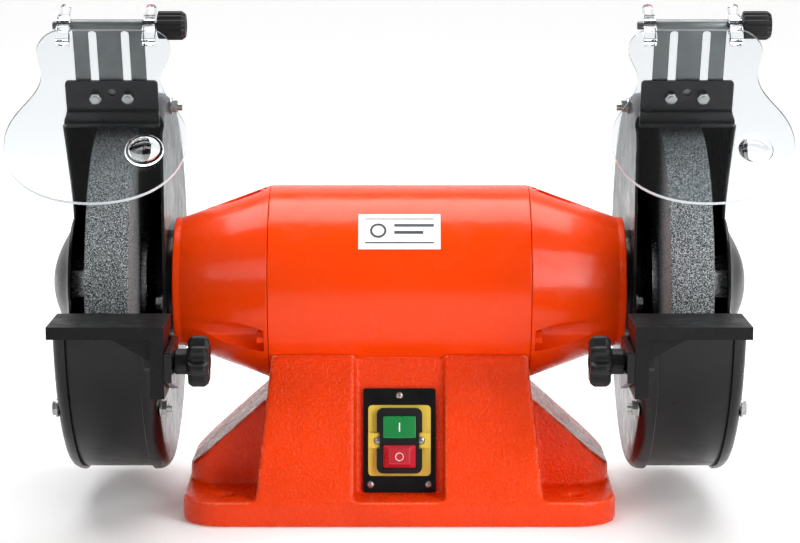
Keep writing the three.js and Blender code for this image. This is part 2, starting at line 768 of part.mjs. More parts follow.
// Half of the shield's outline from the top to the bottom, mirrored to close it.
function shieldOutline() {
  const shape = new THREE.Shape();
  shape.moveTo(0, -11);
  shape.lineTo(34, -11);
  shape.bezierCurveTo(42, -12, 49.5, -22, 48.5, -31);
  shape.bezierCurveTo(47.5, -40, 43, -46, 43, -54);
  shape.bezierCurveTo(43, -76, 64.5, -84, 64.5, -112);
  shape.bezierCurveTo(64.5, -145, 38, -165, 0, -165);
  shape.bezierCurveTo(-38, -165, -64.5, -145, -64.5, -112);
  shape.bezierCurveTo(-64.5, -84, -43, -76, -43, -54);
  shape.bezierCurveTo(-43, -46, -47.5, -40, -48.5, -31);
  shape.bezierCurveTo(-49.5, -22, -42, -12, -34, -11);
  return shape;
}

function shield() {
  const front = -SHIELD.drop - SHIELD.thickness;
  let body = alongY(shieldOutline(), front, -SHIELD.drop, 6);
  for (const side of [-1, 1]) {
    const edges = [side * EAR.start, side * EAR.end].sort((a, b) => a - b);
    const ear = bar(EAR.radius, edges[0], edges[1]).add(
      block([edges[0], front + 0.5, -18], [edges[1], 3, 0]),
    );
    const head = post(EAR.post, 4, EAR.top, (edges[0] + edges[1]) / 2, 0, 10);
    body = body.add(ear.add(head).subtract(bar(HINGE.rod + GAP, -60, 60)));
  }
  return body;
}

function shieldKnob() {
  const { start, end, radius, flutes } = SHIELD_KNOB;
  const grip = alongX(lobedOutline(radius, 1.2, flutes), start, end);
  const crown = turned([
    [start, 0],
    [start, radius - 1],
    [start + 1, radius],
    [end - 3, radius],
    [end, radius - 3],
    [end, 0],
  ]);
  return grip.intersect(crown).subtract(bar(HINGE.rod + GAP, 0, HINGE.rodEnd + GAP));
}

// ---- Tool rest ----

function toolRest() {
  const { start, end, front, back, top, thickness } = REST;
  const table = block([start, front, top - thickness], [end, back, top]);
  const leg = block([start, front + 1, REST_LEG.low], [REST_LEG.end, REST_LEG.back, top - 1]);
  const under = top - thickness;
  const rib = alongY(
    polygon([
      [REST_LEG.end - 1, under + 1],
      [REST_LEG.end - 1, under - REST_RIB.drop],
      [REST_RIB.reach, under + 1],
    ]),
    REST_RIB.y,
    REST_RIB.y + REST_RIB.thickness,
  );
  return table.add(leg).add(rib).subtract(bar(STUD.radius + GAP, 0, 300, STUD.y, STUD.z));
}

// The arm is bent from flat bar: its pad lies on the guard's inner pan and its front end carries the rest.
function restArm() {
  const { start, end, front, bend: bendY, pad, back, top, low } = ARM;
  const padEnd = PAN.back - GAP;
  const thickness = end - start;
  const plan = polygon([
    [start, front],
    [end, front],
    [end, bendY],
    [padEnd, pad],
    [padEnd, back],
    [padEnd - thickness, back],
    [padEnd - thickness, pad + 2],
    [start, bendY + 2],
  ]);
  const side = polygon([
    [front, STUD.z + 11],
    [front, STUD.z - 11],
    [bendY, low],
    [back, low],
    [back, top],
    [bendY, top],
  ]);
  const slot = new THREE.Shape();
  const half = STUD.radius + GAP;
  slot.absarc(ARM_SLOT.front + half, STUD.z, half, Math.PI / 2, 1.5 * Math.PI);
  slot.absarc(ARM_SLOT.back - half, STUD.z, half, -Math.PI / 2, Math.PI / 2);
  const strap = alongZ(plan, low, top).intersect(alongX(side, start - 1, padEnd + 1));
  return strap.subtract(alongX(slot, start - 1, end + 1, 6));
}

function restStud() {
  const head = bar(STUD.head, REST_LEG.end + GAP, STUD.end, 0, 0, 6);
  return head.add(bar(STUD.radius, STUD.start, STUD.end - 1));
}

function restKnob() {
  const { start, disc, hubEnd, radius, hub, lobes } = REST_KNOB;
  const grip = alongX(lobedOutline(radius, 4, lobes), start, disc);
  const crown = turned([
    [start, 0],
    [start, radius - 4],
    [start + 3, radius],
    [disc - 2, radius],
    [disc, radius - 2],
    [disc, 0],
  ], SMALL_ROUND);
  const stem = bar(hub, disc - 1, hubEnd);
  return grip.intersect(crown).add(stem).subtract(bar(STUD.radius + GAP, STUD.start - GAP, 170));
}

// ---- Assembly ----

// One side's pieces in the frame of the right-hand side; the left is its mirror image.
function sideGroup(side) {
  const group = new THREE.Group();
  group.position.z = AXIS_Z;
  group.scale.x = side === "left" ? -1 : 1;
  group.add(piece(`end_bell_${side}`, endBell(), "orange"));
  const bearing = ring(BEARING.inner, BEARING.outer, BEARING.start, BEARING.end);
  group.add(piece(`bearing_${side}`, bearing, "steel"));
  group.add(piece(`wheel_${side}`, wheel(), "stone"));
  const inner = piece(`inner_flange_${side}`, flange(), "steel");
  inner.position.x = WHEEL.start - GAP - FLANGE.thickness;
  group.add(inner);
  const outer = piece(`outer_flange_${side}`, flange(), "steel");
  outer.position.x = WHEEL.end + GAP + FLANGE.thickness;
  outer.rotation.z = Math.PI;
  group.add(outer);
  group.add(piece(`spindle_nut_${side}`, spindleNut(), "steel"));
  group.add(piece(`guard_pan_${side}`, innerPan(), "black"));
  group.add(piece(`guard_drum_${side}`, guardDrum(), "black"));
  group.add(piece(`guard_cover_${side}`, guardCover(), "black"));
  const labels = ["front", "top", "rear"];
  COVER_BOLT.angles.forEach((degrees, i) => {
    const bolt = piece(`cover_bolt_${labels[i]}_${side}`, coverBolt(), "steel");
    const [y, z] = coverBoltPlace(degrees);
    bolt.position.set(0, y, z);
    group.add(bolt);
  });
  group.add(restGroup(side));
  return group;
}

function restGroup(side) {
  const group = new THREE.Group();
  group.add(piece(`rest_arm_${side}`, restArm(), "black"));
  group.add(piece(`tool_rest_${side}`, toolRest(), "black"));
  const stud = piece(`rest_stud_${side}`, restStud(), "steel");
  const knob = piece(`rest_knob_${side}`, restKnob(), "blackPlastic");
  for (const mesh of [stud, knob]) {
    mesh.position.set(0, STUD.y, STUD.z);
    group.add(mesh);
  }
  return group;
}

// The spark guard and shield, which are the same on both sides, not mirrored.
function shieldGroup(side) {
  const group = new THREE.Group();
  group.position.z = AXIS_Z;
  if (side === "left") {
    group.position.x = -2 * WHEEL_MIDDLE;
  }
  const top = mouthPlace();
  group.add(top);
  top.add(piece(`spark_guard_${side}`, sparkGuard(), "black"));
  for (const [label, x] of [["a", -SPARK_BOLT.x], ["b", SPARK_BOLT.x]]) {
    const bolt = piece(`spark_bolt_${label}_${side}`, sparkBolt(), "steel");
    bolt.position.set(x, 0, SPARK_BOLT.at);
    top.add(bolt);
  }
  top.add(piece(`shield_slide_${side}`, shieldSlide(), "zinc"));
  const hinge = shieldPlace();
  group.add(hinge);
  const rod = bar(HINGE.rod, -EAR.end - 4, HINGE.rodEnd);
  hinge.add(piece(`shield_rod_${side}`, rod, "zinc"));
  hinge.add(piece(`shield_${side}`, shield(), "clear"));
  hinge.add(piece(`shield_knob_${side}`, shieldKnob(), "blackPlastic"));
  return group;
}

const grinder = new THREE.Group();
grinder.add(base());
grinder.add(cableGland());
grinder.add(switchUnit());
grinder.add(motor());
for (const side of ["left", "right"]) {
  grinder.add(sideGroup(side));
  grinder.add(shieldGroup(side));
}

export default grinder;
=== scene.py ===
"""A pedestal-base bench grinder: the looks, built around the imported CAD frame. Metres, +Z up."""
import math

import bmesh
import bpy
from mathutils import Matrix, Vector


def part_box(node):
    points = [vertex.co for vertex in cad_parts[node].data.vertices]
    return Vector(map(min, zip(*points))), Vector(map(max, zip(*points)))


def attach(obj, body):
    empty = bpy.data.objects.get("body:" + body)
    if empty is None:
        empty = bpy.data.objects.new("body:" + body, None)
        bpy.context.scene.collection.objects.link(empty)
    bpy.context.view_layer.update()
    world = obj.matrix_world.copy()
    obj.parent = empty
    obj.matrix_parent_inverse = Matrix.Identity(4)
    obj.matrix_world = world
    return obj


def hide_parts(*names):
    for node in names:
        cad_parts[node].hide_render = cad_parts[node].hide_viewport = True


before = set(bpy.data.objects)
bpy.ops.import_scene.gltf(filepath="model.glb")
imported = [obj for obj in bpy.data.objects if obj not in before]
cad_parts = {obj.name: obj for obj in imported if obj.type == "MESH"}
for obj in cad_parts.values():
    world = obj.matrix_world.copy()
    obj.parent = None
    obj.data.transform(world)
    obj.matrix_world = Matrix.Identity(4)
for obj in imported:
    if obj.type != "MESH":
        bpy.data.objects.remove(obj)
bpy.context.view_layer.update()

# ---- Places from the frame ----

WHEEL_LOW, WHEEL_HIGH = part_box("wheel_right")
AXIS_Z = (WHEEL_LOW.z + WHEEL_HIGH.z) / 2
WHEEL_MIDDLE = (WHEEL_LOW.x + WHEEL_HIGH.x) / 2
WHEEL_RADIUS = (WHEEL_HIGH.z - WHEEL_LOW.z) / 2
SHELL_LOW, SHELL_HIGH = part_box("motor_shell")
SHELL_RADIUS = (SHELL_HIGH.z - SHELL_LOW.z) / 2
BELL_LOW, BELL_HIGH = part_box("end_bell_right")
PAN_LOW, PAN_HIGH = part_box("guard_pan_right")
DRUM_LOW, DRUM_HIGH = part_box("guard_drum_right")
COVER_LOW, COVER_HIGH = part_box("guard_cover_right")
RIM = (COVER_HIGH.z - COVER_LOW.z) / 2
KNOB_LOW, KNOB_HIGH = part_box("rest_knob_right")
ROD_LOW, ROD_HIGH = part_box("shield_rod_right")
HINGE = Vector((WHEEL_MIDDLE, (ROD_LOW.y + ROD_HIGH.y) / 2, (ROD_LOW.z + ROD_HIGH.z) / 2))
PLATE_LOW, PLATE_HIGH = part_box("switch_plate")

SIDES = {"left": -1, "right": 1}
MOUTH_LEAN = math.radians(22)
SHIELD_TILT = math.radians(42)
WALL_LEAN = math.atan2(19, 103)
MOUTH_Z = -0.018
COVER_BOLTS = {"front": -35, "top": 92, "rear": 205}
SHEET = 0.002
BELL_BOLT_CIRCLE = 0.0675
PAN_BOLT_CIRCLE = 0.0585
AXLE = Matrix.Translation((0, 0, AXIS_Z))


def mm(*values):
    """Millimetres in metres."""
    return [v / 1000 for v in values]


def turn(degrees, axis):
    return Matrix.Rotation(math.radians(degrees), 4, axis)


# ---- Meshes ----


def link(name, bm, sharp=35):
    """A new object from a bmesh, smooth but for its real edges."""
    bmesh.ops.recalc_face_normals(bm, faces=bm.faces)
    mesh = bpy.data.meshes.new(name)
    bm.to_mesh(mesh)
    bm.free()
    piece = bpy.data.objects.new(name, mesh)
    bpy.context.scene.collection.objects.link(piece)
    smooth(piece, sharp)
    return piece


def smooth(piece, sharp=35):
    piece.data.shade_smooth()
    piece.data.set_sharp_from_angle(angle=math.radians(sharp))


def settle(piece, sharp=35):
    """Turns the piece's modifiers into its mesh."""
    graph = bpy.context.evaluated_depsgraph_get()
    mesh = bpy.data.meshes.new_from_object(piece.evaluated_get(graph))
    piece.modifiers.clear()
    piece.data = mesh
    smooth(piece, sharp)


def combine(piece, others, operation):
    """Joins, cuts or trims a piece with other objects, which are used up."""
    for other in others:
        change = piece.modifiers.new(operation, "BOOLEAN")
        change.operation = operation
        change.solver = "EXACT"
        change.object = other
        settle(piece)
        bpy.data.objects.remove(other)
    return piece


def cut(piece, *others):
    return combine(piece, others, "DIFFERENCE")


def join(piece, *others):
    return combine(piece, others, "UNION")


def soften(piece, width, segments=3, angle=35):
    """Rounds the piece's real edges."""
    weld = piece.modifiers.new("weld", "WELD")
    weld.merge_threshold = 1e-5
    bevel = piece.modifiers.new("edges", "BEVEL")
    bevel.width = width
    bevel.segments = segments
    bevel.limit_method = "ANGLE"
    bevel.angle_limit = math.radians(angle)
    bevel.harden_normals = False
    return piece


def rounded(points, radius, closed=True, steps=4):
    """An outline with its corners turned into small curves."""
    out = []
    for i, point in enumerate(points):
        if not closed and i in (0, len(points) - 1):
            out.append(tuple(point))
            continue
        before, corner = Vector(points[i - 1]), Vector(point)
        after = Vector(points[(i + 1) % len(points)])
        reach = min(radius, (before - corner).length * 0.45, (after - corner).length * 0.45)
        start = corner + (before - corner).normalized() * reach
        end = corner + (after - corner).normalized() * reach
        for k in range(steps + 1):
            t = k / steps
            out.append(tuple(start.lerp(corner, t).lerp(corner.lerp(end, t), t)))
    return out


def bezier(a, b, c, d, steps=24):
    """Points along one cubic curve, without its first point."""
    a, b, c, d = (Vector(p) for p in (a, b, c, d))
    out = []
    for k in range(1, steps + 1):
        t = k / steps
        point = a * (1 - t) ** 3 + b * 3 * t * (1 - t) ** 2 + c * 3 * t * t * (1 - t) + d * t ** 3
        out.append(tuple(point))
    return out


def lathe(name, profile, place=AXLE, steps=128, swell=None, sharp=35):
    """A closed solid turned about X from (x, radius) pairs, on the axis at both ends or closed."""
    bm = bmesh.new()
    rings = []
    for x, radius in profile:
        if radius < 1e-7:
            rings.append([bm.verts.new(place @ Vector((x, 0, 0)))])
            continue
        ring = []
        for i in range(steps):
            angle = 2 * math.pi * i / steps
            reach = swell(angle, x, radius) if swell else radius
            ring.append(bm.verts.new(place @ Vector((x, reach * math.sin(angle), reach * math.cos(angle)))))
        rings.append(ring)
    pairs = list(zip(rings, rings[1:]))
    if profile[0][1] > 1e-7:
        pairs.append((rings[-1], rings[0]))
    for a, b in pairs:
        for i in range(steps):
            j = (i + 1) % steps
            corners = [a[i % len(a)], b[i % len(b)], b[j % len(b)], a[j % len(a)]]
            corners = [v for k, v in enumerate(corners) if v not in corners[:k]]
            if len(corners) > 2:
                bm.faces.new(corners)
    return link(name, bm, sharp)


def swept(name, section, start, end, place=AXLE, steps=160):
    """An (x, radius) section swept round X between two angles, from +Z toward the operator."""
    bm = bmesh.new()
    rings = []
    for i in range(steps + 1):
        angle = math.radians(start + (end - start) * i / steps)
        points = [Vector((x, -r * math.sin(angle), r * math.cos(angle))) for x, r in section]
        ring = [bm.verts.new(place @ point) for point in points]
        rings.append(ring)
    count = len(section)
    for a, b in zip(rings, rings[1:]):
        for i in range(count):
            j = (i + 1) % count
            bm.faces.new([a[i], a[j], b[j], b[i]])
    bm.faces.new(rings[0])
    bm.faces.new(rings[-1])
    return link(name, bm)


def prism(name, outline, low, high, axis="Y", place=Matrix.Identity(4)):
    """An outline pushed along one axis. The outline is in the other two axes, in X, Y, Z order."""
    def at(u, v, w):
        return place @ Vector({"X": (w, u, v), "Y": (u, w, v), "Z": (u, v, w)}[axis])

    bm = bmesh.new()
    bottom = [bm.verts.new(at(u, v, low)) for u, v in outline]
    top = [bm.verts.new(at(u, v, high)) for u, v in outline]
    bm.faces.new(bottom)
    bm.faces.new(top)
    for i in range(len(outline)):
        j = (i + 1) % len(outline)
        bm.faces.new([bottom[i], bottom[j], top[j], top[i]])
    return link(name, bm)


def block(name, low, high, place=Matrix.Identity(4)):
    outline = [(low[0], low[2]), (high[0], low[2]), (high[0], high[2]), (low[0], high[2])]
    return prism(name, outline, low[1], high[1], "Y", place)


def rod(name, radius, low, high, place=AXLE, steps=32):
    """A plain round bar along X."""
    return lathe(name, [(low, 0), (low, radius), (high, radius), (high, 0)], place, steps)


def polygon(radius, sides, phase=0.0):
    step = 2 * math.pi / sides
    return [
        (radius * math.cos(step * (i + phase)), radius * math.sin(step * (i + phase)))
        for i in range(sides)
    ]


def hexagon(name, radius, low, high, place):
    """A nut or bolt head along X with its corners taken off."""
    body = prism(name, polygon(radius, 6), low, high, "X", place)
    edge = radius * 0.13
    crown = lathe("crown", [(low, 0), (low, radius - edge), (low + edge * 0.6, radius * 1.01),
                            (high - edge * 0.6, radius * 1.01), (high, radius - edge), (high, 0)], place, 48)
    return combine(body, [crown], "INTERSECT")


def tube(name, points, radius, steps=10):
    """A round bead along a line of points."""
    curve = bpy.data.curves.new(name, "CURVE")
    curve.dimensions = "3D"
    curve.bevel_depth = radius
    curve.bevel_resolution = steps // 4 + 1
    curve.use_fill_caps = True
    line = curve.splines.new("POLY")
    line.points.add(len(points) - 1)
    for target, point in zip(line.points, points):
        target.co = (*point, 1)
    holder = bpy.data.objects.new(name + "_line", curve)
    bpy.context.scene.collection.objects.link(holder)
    graph = bpy.context.evaluated_depsgraph_get()
    mesh = bpy.data.meshes.new_from_object(holder.evaluated_get(graph))
    bpy.data.objects.remove(holder)
    piece = bpy.data.objects.new(name, mesh)
    bpy.context.scene.collection.objects.link(piece)
    smooth(piece)
    return piece


# ---- Materials ----


def new_material(name, color, roughness, metallic=0.0):
    material = bpy.data.materials.new(name)
    material.use_nodes = True
    shader = material.node_tree.nodes["Principled BSDF"]
    shader.inputs["Base Color"].default_value = (*color, 1)
    shader.inputs["Roughness"].default_value = roughness
    shader.inputs["Metallic"].default_value = metallic
    return material, material.node_tree, shader


def noise(tree, scale, detail=3, roughness=0.5, stretch=None):
    """Noise in the object's own metres, with about scale lumps in a metre."""
    place = tree.nodes.new("ShaderNodeTexCoord")
    source = place.outputs["Object"]
    if stretch:
        mapping = tree.nodes.new("ShaderNodeMapping")
        mapping.inputs["Scale"].default_value = stretch
        tree.links.new(source, mapping.inputs["Vector"])
        source = mapping.outputs["Vector"]
    texture = tree.nodes.new("ShaderNodeTexNoise")
    texture.inputs["Scale"].default_value = scale
    texture.inputs["Detail"].default_value = detail
    texture.inputs["Roughness"].default_value = roughness
    tree.links.new(source, texture.inputs["Vector"])
    return texture.outputs["Fac"]


def ramp(tree, source, stops):
    """A colour ramp: stops are (place, colour)."""
    node = tree.nodes.new("ShaderNodeValToRGB")
    elements = node.color_ramp.elements
    while len(elements) < len(stops):
        elements.new(0.5)
    for element, (place, color) in zip(elements, stops):
        element.position = place
        element.color = (*color, 1)
    tree.links.new(source, node.inputs["Fac"])
    return node.outputs["Color"]


def shade(color, factor):
    return [min(1.0, c * factor) for c in color]


def vary(tree, shader, color, scale, amount, stretch=None):
    source = noise(tree, scale, 4, 0.6, stretch)
    stops = [(0.3, shade(color, 1 - amount)), (0.7, shade(color, 1 + amount))]
    tree.links.new(ramp(tree, source, stops), shader.inputs["Base Color"])


def rough(tree, shader, low, high, scale, stretch=None):
    """Roughness that wanders between two values."""
    spread = tree.nodes.new("ShaderNodeMapRange")
    spread.inputs["From Min"].default_value = 0.3
    spread.inputs["From Max"].default_value = 0.7
    spread.inputs["To Min"].default_value = low
    spread.inputs["To Max"].default_value = high
    tree.links.new(noise(tree, scale, 3, 0.5, stretch), spread.inputs["Value"])
    tree.links.new(spread.outputs["Result"], shader.inputs["Roughness"])


def bump(tree, shader, layers):
    """Bump from layers of (scale, depth in metres, detail)."""
    normal = None
    for scale, depth, detail in layers:
        node = tree.nodes.new("ShaderNodeBump")
        node.inputs["Strength"].default_value = 1.0
        node.inputs["Distance"].default_value = depth
        tree.links.new(noise(tree, scale, detail), node.inputs["Height"])
        if normal:
            tree.links.new(normal, node.inputs["Normal"])
        normal = node.outputs["Normal"]
    tree.links.new(normal, shader.inputs["Normal"])


def painted(name, color, low, high, layers, amount=0.06, coat=0.0):
    material, tree, shader = new_material(name, color, (low + high) / 2)
    vary(tree, shader, color, 9, amount)
    rough(tree, shader, low, high, 60)
    bump(tree, shader, layers)
    shader.inputs["Coat Weight"].default_value = coat
    shader.inputs["Coat Roughness"].default_value = 0.12
    return material


def dull(material, level):
    """The same finish with a weaker reflection."""
    material.node_tree.nodes["Principled BSDF"].inputs["Specular IOR Level"].default_value = level
    return material


def casting_with_edge_highlight(name, color, edge_highlight_color):
    """Thick textured paint over a rough casting, with a painted highlight: lighter along its convex edges."""
    material, tree, shader = new_material(name, color, 0.4)
    rough(tree, shader, 0.2, 0.36, 70)
    bump(tree, shader, [(40, 0.001, 2), (420, 0.001, 2), (1000, 0.0003, 2)])
    # Painted highlight: convex edges (high pointiness) get a lighter orange, standing in for light catching
    # the casting's edges.
    geometry = tree.nodes.new("ShaderNodeNewGeometry")
    edge = ramp(tree, geometry.outputs["Pointiness"], [(0.53, (0, 0, 0)), (0.57, (1, 1, 1))])
    mixer = tree.nodes.new("ShaderNodeMix")
    mixer.data_type = "RGBA"
    tree.links.new(edge, mixer.inputs["Factor"])
    stops = [(0.3, shade(color, 0.9)), (0.7, shade(color, 1.08))]
    tree.links.new(ramp(tree, noise(tree, 12, 4), stops), mixer.inputs["A"])
    mixer.inputs["B"].default_value = (*edge_highlight_color, 1)
    tree.links.new(mixer.outputs["Result"], shader.inputs["Base Color"])
    shader.inputs["Coat Weight"].default_value = 0.12
    shader.inputs["Coat Roughness"].default_value = 0.2
    return material


def stone(name):
    """Coarse abrasive grains bonded in a grey body."""
    material, tree, shader = new_material(name, (0.2, 0.21, 0.21), 0.9)
    grain = noise(tree, 1150, 3, 0.7)
    stops = [(0.4, (0.02, 0.024, 0.025)), (0.5, (0.1, 0.112, 0.116)), (0.6, (0.5, 0.53, 0.54))]
    tree.links.new(ramp(tree, grain, stops), shader.inputs["Base Color"])
    bump(tree, shader, [(1150, 0.0005, 3), (90, 0.0004, 2)])
    shader.inputs["Specular IOR Level"].default_value = 0.2
    return material


def metal(name, color, low, high, stretch=None, depth=0.00004):
    material, tree, shader = new_material(name, color, (low + high) / 2, 1.0)
    vary(tree, shader, color, 40, 0.08, stretch)
    rough(tree, shader, low, high, 140, stretch)
    bump(tree, shader, [(500, depth, 3)])
    return material


def clear_plastic(name):
    """Clear polycarbonate with faint handling marks."""
    material, tree, shader = new_material(name, (0.93, 0.965, 0.985), 0.03)
    rough(tree, shader, 0.015, 0.06, 25)
    bump(tree, shader, [(14, 0.0001, 1)])
    shader.inputs["IOR"].default_value = 1.5
    shader.inputs["Transmission Weight"].default_value = 1.0
    return material


ORANGE = (0.9, 0.052, 0.0008)
PAINT_RIPPLE = [(420, 0.00012, 2), (45, 0.0006, 2)]
STEEL_RIPPLE = [(700, 0.00008, 2), (60, 0.0003, 2)]
CAST_GRAIN = [(480, 0.00028, 2), (60, 0.0005, 2)]
FINISH = {
    "orange_paint": painted("orange_paint", ORANGE, 0.2, 0.3, PAINT_RIPPLE, 0.03, 0.15),
    "orange_casting": casting_with_edge_highlight("orange_casting", (0.88, 0.048, 0.0012), (0.98, 0.5, 0.28)),
    "black_steel": painted("black_steel", (0.004, 0.004, 0.0045), 0.26, 0.4, STEEL_RIPPLE, 0.15, 0.2),
    "black_casting": painted("black_casting", (0.005, 0.005, 0.0055), 0.34, 0.5, CAST_GRAIN, 0.15),
    "black_plastic": painted("black_plastic", (0.012, 0.012, 0.013), 0.3, 0.45, [(900, 0.00006, 2)], 0.12),
    "yellow_plastic": painted("yellow_plastic", (0.76, 0.56, 0.065), 0.3, 0.42, [(900, 0.00004, 2)], 0.04),
    "green_plastic": painted("green_plastic", (0.007, 0.22, 0.05), 0.25, 0.38, [(700, 0.00005, 2)], 0.06),
    "red_plastic": painted("red_plastic", (0.5, 0.016, 0.03), 0.25, 0.38, [(700, 0.00005, 2)], 0.06),
    "grinding_stone": stone("grinding_stone"),
    "bright_steel": metal("bright_steel", (0.56, 0.57, 0.58), 0.2, 0.36, (1, 8, 8)),
    "zinc_steel": metal("zinc_steel", (0.42, 0.43, 0.42), 0.26, 0.42),
    "aluminium_can": metal("aluminium_can", (0.6, 0.61, 0.62), 0.3, 0.45),
    "laminations": metal("laminations", (0.24, 0.25, 0.26), 0.4, 0.6, (60, 1, 1), 0.0002),
    "copper_winding": metal("copper_winding", (0.5, 0.17, 0.05), 0.3, 0.5, (1, 20, 20), 0.0003),
    "clear_plastic": clear_plastic("clear_plastic"),
}
for finish in ("black_steel", "black_casting", "black_plastic", "orange_paint", "orange_casting"):
    dull(FINISH[finish], 0.2)
ZINC_SHEET = metal("zinc_sheet", (0.17, 0.185, 0.185), 0.42, 0.58)
DARK_STEEL = metal("dark_steel", (0.1, 0.105, 0.11), 0.3, 0.45)
# Painted highlight for the shield's sawn edges: a pale opaque colour in place of the light that the clear
# edge catches.
SHIELD_EDGE_HIGHLIGHT = painted("shield_edge_highlight", (0.62, 0.66, 0.7), 0.25, 0.4, [(900, 0.00008, 2)], 0.1, 0.3)
LABEL_WHITE = painted("label_white", (0.9, 0.9, 0.89), 0.35, 0.45, [(300, 0.00003, 2)], 0.02)
LABEL_GREY = painted("label_grey", (0.05, 0.055, 0.065), 0.35, 0.5, [(300, 0.00003, 2)], 0.05)
MARK_WHITE = painted("mark_white", (0.85, 0.87, 0.86), 0.35, 0.45, [(600, 0.00003, 2)], 0.02)


def dress(piece, body, slot, nodes=(), material=None):
    """Gives a piece its material (its slot's finish unless one is given) and its body, and hides the CAD
    nodes that it stands for.
    """
    piece.data.materials.clear()
    piece.data.materials.append(material or FINISH[slot])
    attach(piece, body)
    if nodes:
        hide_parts(*nodes)
    return piece


def dress_cad(node, slot, width=0.0, segments=3):
    """A CAD node that keeps its shape, with rounded edges and a finish."""
    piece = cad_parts[node]
    if width:
        soften(piece, width, segments)
    piece.data.materials.clear()
    piece.data.materials.append(FINISH[slot])


# ---- Base ----


def casting():
    """The cast base keeps its CAD shape; a fine skin rounds its edges as sand casting does."""
    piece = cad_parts["base_casting"]
    skin = piece.modifiers.new("skin", "REMESH")
    skin.mode = "VOXEL"
    skin.voxel_size = 0.0016
    skin.use_smooth_shade = True
    relax = piece.modifiers.new("relax", "SMOOTH")
    relax.factor = 0.5
    relax.iterations = 9
    piece.data.materials.clear()
    piece.data.materials.append(FINISH["orange_casting"])


def base():
    casting()
    dress_cad("base_cover", "zinc_steel", 0.0005)
    dress_cad("capacitor", "aluminium_can", 0.001)
    dress_cad("cable_gland", "black_plastic", 0.0005)


# ---- Switch ----

SWITCH_MIDDLE = (PLATE_LOW + PLATE_HIGH) / 2
SWITCH = Matrix.Translation(SWITCH_MIDDLE) @ Matrix.Rotation(-WALL_LEAN, 4, "X")
SWITCH = SWITCH @ Matrix.Translation((0, 0.0013, 0))


def screw(name, place, radius, body="root", slot="zinc_steel"):
    """A pan-head screw with a cross recess; local +X points out of the surface."""
    height = radius * 0.62
    crown = bezier((0, radius), (height * 0.7, radius), (height, radius * 0.6), (height, 0), 8)
    profile = [(0, 0), (0, radius)] + crown
    head = lathe(name, profile, place, 32)
    slots = []
    for degrees in (0, 90):
        low = (height * 0.45, -radius * 0.6, -radius * 0.11)
        high = (height * 2, radius * 0.6, radius * 0.11)
        arm = block("arm", low, high, place @ turn(degrees, "X"))
        slots.append(arm)
    return dress(cut(head, *slots), body, slot)


def facing(x, z, out):
    """A place on the switch's front, local +X toward the operator."""
    return SWITCH @ Matrix.Translation((x, -out, z)) @ turn(-90, "Z")


def switch():
    dress_cad("switch_plate", "black_steel", 0.0004)
    dress_cad("switch_frame", "yellow_plastic", 0.0005)
    dress_cad("switch_housing", "black_plastic", 0.0008)
    dress_cad("start_button", "green_plastic", 0.0009)
    dress_cad("stop_button", "red_plastic", 0.001)
    for i, (x, z) in enumerate([(0, 34), (-22, -33.5), (22, -33.5)]):
        screw(f"plate_screw_{i + 1}", facing(*mm(x, z, 2.3)), 0.0029)
    for name, x in (("left", -16.3), ("right", 16.3)):
        screw(f"frame_screw_{name}", facing(*mm(x, 0, 6.7)), 0.0031)
    bar_low, bar_high = mm(-0.5, -9.75, 6.8), mm(0.5, -9.3, 13.6)
    start = block("start_mark", bar_low, bar_high, SWITCH)
    dress(start, "start_button", "green_plastic", material=MARK_WHITE)
    ring_place = facing(*mm(0, -12, 12.7))
    ring_profile = [tuple(mm(x, r)) for x, r in ((0, 2.65), (0, 3.15), (0.45, 3.15), (0.45, 2.65))]
    ring = lathe("stop_mark", ring_profile, ring_place, 48)
    dress(ring, "stop_button", "red_plastic", material=MARK_WHITE)


# ---- Motor ----


def shell():
    end = SHELL_HIGH.x
    inner = SHELL_RADIUS - 0.0045
    outline = [(-end, inner), (-end, SHELL_RADIUS), (end, SHELL_RADIUS), (end, inner)]
    piece = lathe("shell_body", rounded(outline, 0.0009), steps=192)
    dress(piece, "root", "orange_paint", ["motor_shell"])


def label():
    """A plain white sticker wrapped on the shell, with a generic ring and bars."""
    lift = SHELL_RADIUS + 0.0002
    middle = 51.0
    half = math.degrees(0.0155 / SHELL_RADIUS)
    section = [(-0.031, lift), (0.031, lift), (0.031, lift + 0.00025), (-0.031, lift + 0.00025)]
    sticker = swept("label", section, middle - half, middle + half, steps=24)
    dress(sticker, "root", "orange_paint", material=LABEL_WHITE)
    top = lift + 0.0002
    for i, (low, high, start, end) in enumerate([(-0.026, 0.026, -8.6, -7.8), (-0.026, 0.026, 7.4, 8.2),
                                                  (-0.004, 0.026, -4.6, -2.6), (-0.004, 0.018, 0.2, 2.2)]):
        bar = [(low, top), (high, top), (high, top + 0.0001), (low, top + 0.0001)]
        dress(swept(f"label_bar_{i + 1}", bar, middle + start, middle + end, steps=6), "root", "orange_paint",
              material=LABEL_GREY)
    place = AXLE @ turn(middle, "X") @ Matrix.Translation((-0.016, 0, top)) @ turn(-90, "Y")
    ring = lathe("label_ring", [(0, 0.0046), (0, 0.0062), (0.0003, 0.0062), (0.0003, 0.0046)], place, 48)
    dress(ring, "root", "orange_paint", material=LABEL_GREY)


